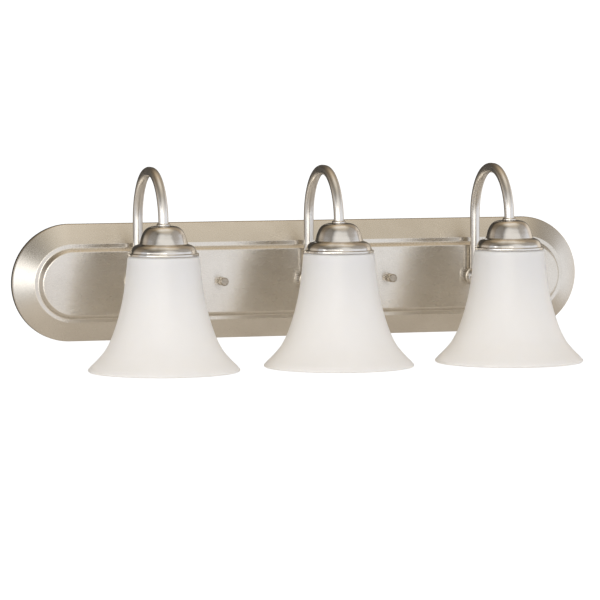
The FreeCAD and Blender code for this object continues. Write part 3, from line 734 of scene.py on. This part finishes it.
def contact(side, at):
    """A brass tongue bent down from the roof of the socket, with a rivet."""
    low, high = span_of("socket_contact_" + side)
    reach = (high.x - low.x) / 2
    tall = high.z - low.z
    width = reach * 0.62
    line = spline([(-reach * 0.92, 0), (-reach * 0.3, -tall * 0.25), (reach * 0.25, -tall * 0.80),
                   (reach * 0.70, -tall * 0.82), (reach * 0.80, -tall * 0.55)], 5)
    verts = []
    for point in line:
        for across in (-width, width):
            for skin in (0.0, -0.35):
                verts.append((point.x, across, point.y + skin))
    faces = []
    for step in range(len(line) - 1):
        a = step * 4
        for first, second in ((0, 1), (1, 3), (3, 2), (2, 0)):
            faces.append((a + first, a + second, a + 4 + second, a + 4 + first))
    end = (len(line) - 1) * 4
    faces += [(0, 1, 3, 2), (end, end + 1, end + 3, end + 2)]
    tongue = make_object("tongue", verts, faces)
    head = rounded([(0, 0), (1.3, 0), (1.3, -0.7, 0.5), (0, -0.9)], 5)
    rivet = lathe("rivet", head, 24, closed=False)
    rivet.location = Vector((-reach * 0.5, 0, -tall * 0.2)) * MM
    piece = merge("contact_" + side, [tongue, rivet])
    settle(piece, ROOT, "shell_brass", BRASS, "socket_contact_" + side, at=(at[0], at[1], high.z))


def cap(side, at):
    """Drawn metal cap over the socket, with a neck for the tube's end."""
    low, high = span_of("socket_cap_" + side)
    outer = (high.x - low.x) / 2
    bore = TUBE_RADIUS + 0.05
    neck = 8.0
    top = high.z
    rim = top - 11
    outline = rounded([(bore, top), (neck, top, 0.5), (neck, top - 3.4, 0.6), (13.8, top - 5.6, 5.0),
                       (outer - 0.3, rim + 0.6, 3.0), (outer - 0.3, low.z + 1.4, 0.6),
                       (outer, low.z + 1.0, 0.3), (outer, low.z)], 5)
    outline += rounded([(outer - 1.2, low.z), (outer - 1.4, rim), (12.6, top - 7.0, 4.0),
                        (bore, top - 4.6)], 5)
    piece = lathe("socket_cap_piece_" + side, outline, 96)
    settle(piece, ROOT, "zinc_steel", ZINC, "socket_cap_" + side, at=at)


def shade_ring(side):
    """Moulded ring with finger flutes on its skirt and a flat flange under the glass."""
    low, high = span_of("shade_ring_" + side)
    flange = (high.x - low.x) / 2
    bore = 19.45
    skirt = bore + 2.2
    centre = centre_of("shade_ring_" + side)
    outline = rounded([
        (bore + 0.5, high.z), (flange, high.z, 0.5), (flange, high.z - 2.2, 0.7),
        (skirt, high.z - 2.2, 0.5), (skirt, low.z, 0.6), (bore + 0.5, low.z)], 5)
    outline += thread_profile(bore + 0.5, low.z + 0.3, high.z - 0.3, 2.5, 0.45)

    def flutes(angle, radius, height):
        """Hollows for the fingers round the skirt, and finer ones round the flange's edge."""
        on_skirt = radius > skirt - 0.7 and height < high.z - 2.6
        on_edge = radius > flange - 0.8
        if on_skirt:
            return -0.45 * max(0.0, math.cos(angle * 36))
        return -0.30 * max(0.0, math.cos(angle * 60)) if on_edge else 0.0

    ring = lathe("ring_" + side, outline, 360, ripple=flutes, sharp=40)
    settle(ring, "shade_ring_" + side, "ring_moulding", RING_WHITE, "shade_ring_" + side,
           at=(centre.x, centre.y, 0))


# ---------------------------------------------------------------------------------------------------
# Fasteners

THREAD_PITCH = 0.794                # 32 turns to the inch
THREAD_DEPTH = 0.28


def hex_nut(name, flats, thick, bore):
    """A hexagon nut about -Y: the faces' corners are cut by a cone, and the bore is threaded."""
    corner = flats / math.sqrt(3)
    seat = flats / 2 * 0.94
    bevel = (corner - flats / 2) * 0.55
    outline = [(bore, 0.0), (seat, 0.0), (corner, bevel), (corner, thick - bevel), (seat, thick),
               (bore, thick)]
    outline += thread_profile(bore, thick - 0.1, 0.1, 0.8, -0.25)

    def to_hexagon(angle, radius, _):
        """Draws a round outline in to the six flats."""
        inside = math.cos((angle % (math.pi / 3)) - math.pi / 6)
        return min(0.0, flats / 2 / inside - radius)

    return lathe(name, outline, 96, "Y", True, to_hexagon, 25)


def toothed_washer(name, inner, outer, thick):
    """A lock washer whose rim is cut into twisted teeth."""
    teeth = 12
    around = teeth * 6
    root = inner + (outer - inner) * 0.45
    sheet = thick * 0.5
    verts = []
    for step in range(around):
        angle = math.tau * step / around
        phase = (step % 6) / 6
        on_tooth = phase < 0.6
        tip = outer * (1.0 if on_tooth else 0.72)
        twist = sheet * (phase - 0.3) if on_tooth else 0.0
        for radius, skin in ((inner, 0.0), (root, 0.0), (tip, twist), (tip, twist + sheet),
                             (root, sheet), (inner, sheet)):
            verts.append((radius * math.cos(angle), -(skin + thick * 0.2), radius * math.sin(angle)))
    return make_object(name, verts, grid_faces(around, 6, True, True), 25)


def arm_fasteners():
    """A locknut over a toothed washer on each arm's stem, behind the plate."""
    nut_low, nut_high = span_of("arm_locknuts")
    washer_low, washer_high = span_of("arm_lockwashers")
    flats = nut_high.z - nut_low.z
    nuts = []
    washers = []
    for side in SIDES:
        x = centre_of("arm_elbow_" + side).x
        nut = hex_nut("locknut", flats, nut_high.y - nut_low.y, STEM_RADIUS + 0.05)
        nut.location = Vector((x, nut_high.y, 0)) * MM
        nut.rotation_euler.y = math.radians(30)
        nuts.append(nut)
        lock = toothed_washer("lockwasher", STEM_RADIUS + 0.2, washer_high.z,
                              washer_high.y - washer_low.y)
        lock.location = Vector((x, washer_high.y, 0)) * MM
        washers.append(lock)
    bpy.context.view_layer.update()
    settle(merge("locknuts", nuts), ROOT, "zinc_steel", ZINC, "arm_locknuts")
    settle(merge("lockwashers", washers), ROOT, "zinc_steel", ZINC, "arm_lockwashers")


def knurled_nut(side):
    """Slender nut: knurled barrel between two plain bands, chamfered face with a driver slot."""
    low, high = span_of("cap_nut_" + side)
    radius = (high.x - low.x) / 2
    tall = high.y - low.y
    ridges = 30
    bottom = 0.6
    crown = tall - 1.9

    def knurl(angle, here, height):
        """Ridges round the barrel between its two bands."""
        if here < radius - 0.05 or not bottom + 0.3 < height < crown - 0.1:
            return 0.0
        return -0.34 * (0.5 + 0.5 * math.cos(angle * ridges))

    seat = 0.03                         # hair's breadth of air between the nut and its washer
    bore = 2.15
    groove = radius - 0.55
    outline = rounded([(bore, seat), (radius - 0.15, seat, 0.2), (radius - 0.15, bottom, 0.1),
                       (radius, bottom + 0.3)], 3)
    outline += [Vector((radius, bottom + 0.35 + step * (crown - bottom - 0.5) / 5))
                for step in range(6)]
    outline += rounded([(radius, crown), (groove, crown + 0.15), (groove, crown + 0.55),
                        (radius, crown + 0.7, 0.1), (radius, tall - 0.7, 0.25),
                        (radius - 0.8, tall, 0.3), (0, tall)], 4)
    barrel = lathe("knurled", outline, ridges * 8, "Y", False, knurl, 30)
    slot_cut(barrel, radius, tall, 1.1, 0.9, 18)
    centre = centre_of("cap_nut_" + side)
    # Its material is satin nickel darkened with painted shade.
    settle(barrel, "cap_nut_" + side, "satin_nickel", NUT_PAINTED_SHADE, "cap_nut_" + side,
           at=(centre.x, high.y, centre.z))


def slot_cut(piece, radius, front, width, depth, turned):
    """Cut a driver slot across the front face of a fastener that points along -Y."""
    reach = radius + 1
    outline = [(-reach, -width / 2), (reach, -width / 2), (reach, width / 2), (-reach, width / 2)]
    cutter = prism("slot_cutter", outline, front - depth, front + 1)
    cutter.rotation_euler.y = math.radians(turned)
    bpy.context.view_layer.update()
    cut = piece.modifiers.new("slot", "BOOLEAN")
    cut.operation = "DIFFERENCE"
    cut.solver = "EXACT"
    cut.object = cutter
    graph = bpy.context.evaluated_depsgraph_get()
    mesh = bpy.data.meshes.new_from_object(piece.evaluated_get(graph))
    piece.modifiers.clear()
    piece.data = mesh
    piece.data.shade_smooth()
    piece.data.set_sharp_from_angle(angle=math.radians(30))
    bpy.data.objects.remove(cutter)


def washer(side):
    """Thin disc under the cap nut, with its edges broken."""
    low, high = span_of("washer_" + side)
    centre = centre_of("washer_" + side)
    outer = (high.x - low.x) / 2
    thick = high.y - low.y
    bore = 2.35
    outline = rounded([(bore, 0), (outer, 0, 0.15), (outer, thick, 0.25), (bore, thick, 0.1)], 3, True)
    disc = lathe("washer_disc_" + side, outline, SMALL_ROUND, "Y")
    settle(disc, "washer_" + side, "satin_nickel", CAST, "washer_" + side,
           at=(centre.x, high.y, centre.z))


def strap_hardware():
    """Threaded studs with their nuts, and the wall strap's plating."""
    stud_low, stud_high = span_of("strap_studs")
    nut_low, nut_high = span_of("strap_nuts")
    radius = stud_high.z
    studs = []
    nuts = []
    length = -stud_low.y
    for side in OUTER_SIDES:
        x = centre_of("cap_nut_" + side).x
        outline = [(0, 0), (radius - 0.3, 0)]
        outline += thread_profile(radius, 0.5, length - 0.8, THREAD_PITCH, THREAD_DEPTH)
        outline += [(radius - 0.7, length), (0, length)]
        stud = lathe("stud", outline, 40, "Y", False, sharp=25)
        stud.location.x = x * MM
        studs.append(stud)
        nut = hex_nut("stud_nut", nut_high.z - nut_low.z, nut_high.y - nut_low.y, radius + 0.05)
        nut.rotation_euler.y = math.radians(30)
        nut.location = Vector((x, nut_high.y, 0)) * MM
        nuts.append(nut)
    bpy.context.view_layer.update()
    settle(merge("studs", studs), ROOT, "zinc_steel", ZINC, "strap_studs")
    settle(merge("stud_nuts", nuts), ROOT, "zinc_steel", ZINC, "strap_nuts")
    repaint("wall_strap", ZINC)


def ground_screw():
    """Green screw in the strap, for the earth lead."""
    low, high = span_of("ground_screw")
    centre = centre_of("ground_screw")
    head = (high.x - low.x) / 2
    shank = 2.08
    tall = -low.y
    under = tall - 2.3
    outline = [(0, 0), (1.7, 0)]
    outline += thread_profile(shank, 0.3, under - 0.2, THREAD_PITCH, THREAD_DEPTH)
    outline += rounded([(shank, under), (head, under, 0.2), (head, tall - 0.7, 0.5),
                        (head - 0.9, tall, 0.4), (0, tall)], 4)
    screw = lathe("ground_screw_piece", outline, 48, "Y", False, sharp=25)
    slot_cut(screw, head, tall, 1.0, 1.1, 40)
    settle(screw, ROOT, "ground_green", GREEN, "ground_screw", at=(centre.x, 0, 0))


# ---------------------------------------------------------------------------------------------------
# Wiring

def connector(colour, way):
    """Twist-on connector: a ribbed taper with a plain band at its mouth.  Its tip points up where way
    is 1 and down where it is -1."""
    node = "connector_" + colour
    low, high = span_of(node)
    centre = centre_of(node)
    mouth = (high.x - low.x) / 2
    bore = mouth - 1.3
    shoulder = mouth - 0.35
    tip = 4.4
    length = high.z - low.z

    def ribs(angle, radius, height):
        """Hollows between the ribs, away from the mouth and the tip."""
        if radius < 3.6 or height < 2.4 or height > length - 1.6:
            return 0.0
        return -0.40 * (0.5 + 0.5 * math.cos(angle * 18))

    outline = rounded([(bore, 3.0), (bore, 0, 0.3), (mouth, 0, 0.4), (mouth - 0.05, 2.3, 0.3),
                       (shoulder, 2.6)], 4)
    outline += [Vector((shoulder - (shoulder - tip) * step / 8, 2.6 + (length - 4.4) * step / 8))
                for step in range(1, 9)]
    outline += rounded([(tip, length - 1.8), (3.9, length, 1.2), (0, length)], 5)[1:]
    outline += [Vector((0, length - 2.6)), Vector((3.0, length - 2.6))]
    shell = lathe(node + "_shell", outline, 144, ripple=ribs, sharp=40)
    if way < 0:
        shell.data.transform(Matrix.Rotation(math.pi, 4, "X"))
    settle(shell, ROOT, "connector_orange", ORANGE, node,
           at=(centre.x, centre.y, low.z if way > 0 else high.z))


def leads():
    """The leads keep their CAD shape."""
    for colour, material in (("black", PVC_BLACK), ("white", PVC_WHITE)):
        for side in SIDES:
            repaint("lead_%s_%s" % (colour, side), material)


backplate()
for side in SIDES:
    arm(side)
    elbow(side)
    collar(side)
    fitter(side)
    socket(side)
    shade_ring(side)
    shade(side)
arm_fasteners()
strap_hardware()
ground_screw()
for side in OUTER_SIDES:
    washer(side)
    knurled_nut(side)
connector("black", 1)
connector("white", -1)
leads()


# ---------------------------------------------------------------------------------------------------
# Stage, light and camera, in metres

AIM = Vector((0, -0.1, 0))
WHITE = (1.0, 1.0, 1.0)
BLACK = (0.0, 0.0, 0.0)
WORLD_STRENGTH = 1.1


def floor():
    """A pale floor under the bar, which really hangs on a wall.  It fades out into the white around."""
    bpy.ops.mesh.primitive_circle_add(vertices=96, radius=2.6, fill_type="NGON",
                                      location=(0, -0.4, -0.75))
    disc = bpy.context.object
    disc.name = "floor"
    shader = Shader("floor_pale")
    shader.set(Roughness=0.8)
    speckle = shader.noise(shader.object_space(), 3.0, 4.0)
    colour = shader.ramp(speckle, [(0.3, (0.86, 0.83, 0.79)), (0.7, (0.89, 0.86, 0.82))])
    parts = shader.add("SeparateXYZ")
    shader.link(shader.rings(), parts.inputs["Vector"])
    fade = shader.remap(parts.outputs["X"], 1.0, 0.0, 1.4, 2.5)
    shader.plug(Base_Color=colour, Alpha=fade)
    disc.data.materials.append(shader.material)


def area_light(name, place, size, power, colour):
    """A rectangular lamp in metres and watts, turned to the middle of the bar."""
    data = bpy.data.lights.new(name, "AREA")
    data.shape = "RECTANGLE"
    data.size, data.size_y = size
    data.energy = power
    data.color = colour
    lamp = bpy.data.objects.new(name, data)
    lamp.location = place
    lamp.rotation_euler = (AIM - Vector(place)).to_track_quat("-Z", "Y").to_euler()
    bpy.context.scene.collection.objects.link(lamp)


def ramp_of(tree, value, stops):
    """A colour for each value from -1 to 1."""
    spread = tree.nodes.new("ShaderNodeMapRange")
    spread.inputs["From Min"].default_value = -1.0
    tree.links.new(value, spread.inputs["Value"])
    ramp = tree.nodes.new("ShaderNodeValToRGB")
    set_stops(ramp, [((place + 1) / 2, colour) for place, colour in stops])
    tree.links.new(spread.outputs["Result"], ramp.inputs["Fac"])
    return ramp.outputs["Color"]


def mixed(tree, way, share, first, second):
    """Two colours mixed.  The share and the second colour are links or plain values."""
    both = tree.nodes.new("ShaderNodeMix")
    both.data_type = "RGBA"
    both.blend_type = way
    for value, socket_at in ((share, 0), (first, 6), (second, 7)):
        if isinstance(value, bpy.types.NodeSocket):
            tree.links.new(value, both.inputs[socket_at])
        else:
            both.inputs[socket_at].default_value = value
    return both.outputs[2]


def studio():
    """Soft surroundings, as a product of three ramps.  By height: a warm grey underneath, a white band
    at eye level, and a dim ceiling with a brighter middle.  By depth: bright in front, warm beside the
    bar and dark behind it.  Across: dimmer on the left.  The front is lightened at the end.  The
    camera itself sees plain white."""
    bpy.context.scene.view_settings.view_transform = "Standard"
    world = bpy.data.worlds.new("studio")
    bpy.context.scene.world = world
    world.use_nodes = True
    tree = world.node_tree
    sky = tree.nodes["Background"]
    coordinates = tree.nodes.new("ShaderNodeTexCoord")
    parts = tree.nodes.new("ShaderNodeSeparateXYZ")
    tree.links.new(coordinates.outputs["Generated"], parts.inputs["Vector"])
    height = ramp_of(tree, parts.outputs["Z"], [
        (-1.0, (0.66, 0.62, 0.57)), (-0.55, (0.80, 0.78, 0.76)), (-0.28, (0.98, 1.01, 1.08)),
        (0.30, (0.98, 1.01, 1.08)), (0.48, (0.48, 0.45, 0.42)), (0.74, (0.40, 0.37, 0.33)),
        (0.88, (0.66, 0.59, 0.48)), (0.96, (0.90, 0.83, 0.73)), (1.0, (1.05, 0.99, 0.90))])
    depth = ramp_of(tree, parts.outputs["Y"], [
        (-1.0, WHITE), (0.08, WHITE), (0.20, (0.84, 0.77, 0.69)), (0.40, (1.00, 0.88, 0.72)),
        (0.66, (0.78, 0.67, 0.53)), (0.80, (0.18, 0.16, 0.13)), (1.0, (0.05, 0.045, 0.04))])
    across = ramp_of(tree, parts.outputs["X"], [
        (-1.0, (0.80, 0.80, 0.80)), (-0.55, (0.46, 0.45, 0.43)), (-0.20, (0.80, 0.80, 0.79)),
        (0.10, WHITE), (1.0, WHITE)])
    front = ramp_of(tree, parts.outputs["Y"], [
        (-1.0, (1.0, 0.99, 0.97)), (-0.70, (0.92, 0.90, 0.87)), (-0.42, BLACK), (1.0, BLACK)])
    around = height
    for factor, way in ((depth, "MULTIPLY"), (across, "MULTIPLY"), (front, "LIGHTEN")):
        around = mixed(tree, way, 1.0, around, factor)
    seen = tree.nodes.new("ShaderNodeLightPath")
    backdrop = mixed(tree, "MIX", seen.outputs["Is Camera Ray"], around, WHITE + (1,))
    tree.links.new(backdrop, sky.inputs["Color"])
    sky.inputs["Strength"].default_value = WORLD_STRENGTH
    area_light("key", (-2.5, -1.7, 0.45), (2.0, 1.6), 15, WHITE)
    area_light("fill", (-1.7, -4.2, 0.9), (2.2, 1.4), 38, (1.0, 0.97, 0.92))


def camera():
    """Fitted to the view: left of the bar, a little above it, with a long lens and no shift."""
    place = Vector((-1.0507, -3.5389, 0.2392))
    yaw, pitch, roll = 0.289, -0.071, -0.002
    sensor = 36.0
    focal_share = 5.930                 # focal length over the picture's width
    forward = Vector((math.sin(yaw) * math.cos(pitch), math.cos(yaw) * math.cos(pitch),
                      math.sin(pitch)))
    level = Vector((math.cos(yaw), -math.sin(yaw), 0))
    rise = level.cross(forward)
    right = level * math.cos(roll) + rise * math.sin(roll)
    up = right.cross(forward)
    data = bpy.data.cameras.new("camera")
    data.sensor_width = sensor
    data.lens = sensor * focal_share
    eye = bpy.data.objects.new("camera", data)
    eye.matrix_world = Matrix((right, up, -forward)).transposed().to_4x4()
    eye.location = place
    bpy.context.scene.collection.objects.link(eye)
    bpy.context.scene.camera = eye


floor()
studio()
camera()
